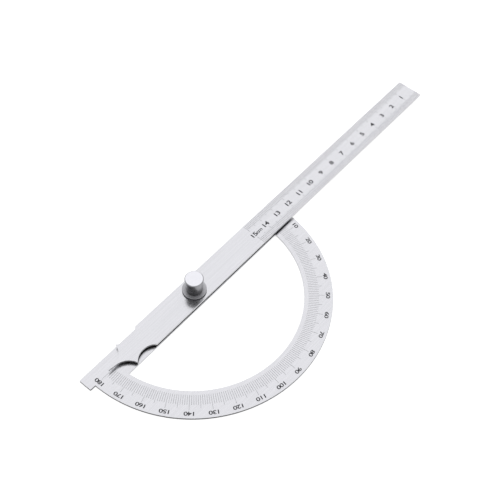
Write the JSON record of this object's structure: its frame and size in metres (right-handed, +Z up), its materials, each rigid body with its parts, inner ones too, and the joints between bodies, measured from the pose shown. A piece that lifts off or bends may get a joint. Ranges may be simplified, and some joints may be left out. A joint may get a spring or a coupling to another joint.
{
  "type": "rotary protractor",
  "caption": "Steel half-round protractor with a swinging ruler arm, a pointer at its short end and a round thumb nut that locks it.",
  "frame": {"origin": "on the pivot axis, in the plane of the dial's underside, which is the face that the protractor lies on", "axes": "+Z up out of the dial along the pivot axis, +X along the base bar to the 180 degree end, where the pointer rests, +Y from the pivot to the middle of the arc"},
  "size_m": [0.2779, 0.083, 0.0149],
  "materials": {
    "dial_steel": "satin stainless steel, etched graduations",
    "arm_steel": "satin stainless steel, etched graduations",
    "stud_steel": "turned steel",
    "washer_steel": "plain dull steel",
    "spring_steel": "tempered spring steel",
    "nut_steel": "turned and polished",
    "etched_marks": "black filled etching"
  },
  "bodies": {
    "dial": {"dial_plate": "dial_steel", "pivot_stud": "stud_steel", "spacer_washer": "washer_steel"},
    "arm": {"ruler_arm": "arm_steel", "flat_washer": "washer_steel"},
    "spring": {"wave_washer": "spring_steel"},
    "nut": {"thumb_nut": "nut_steel"}
  },
  "joints": [
    {"name": "arm_swing", "type": "hinge", "parent": "dial", "child": "arm", "pos_m": [0, 0, 0.0032], "axis": [0, 0, 1], "range_deg": [0, 180]},
    {"name": "nut_lift", "type": "slide", "parent": "dial", "child": "spring", "axis": [0, 0, 1], "range_m": [0, 0.0007]},
    {"name": "nut_turn", "type": "hinge", "parent": "spring", "child": "nut", "pos_m": [0, 0, 0.01], "axis": [0, 0, 1], "range_deg": [0, 360]}
  ],
  "couplings": [
    {"joint": "nut_turn", "follows": "nut_lift", "rad_per_m": 8976}
  ]
}
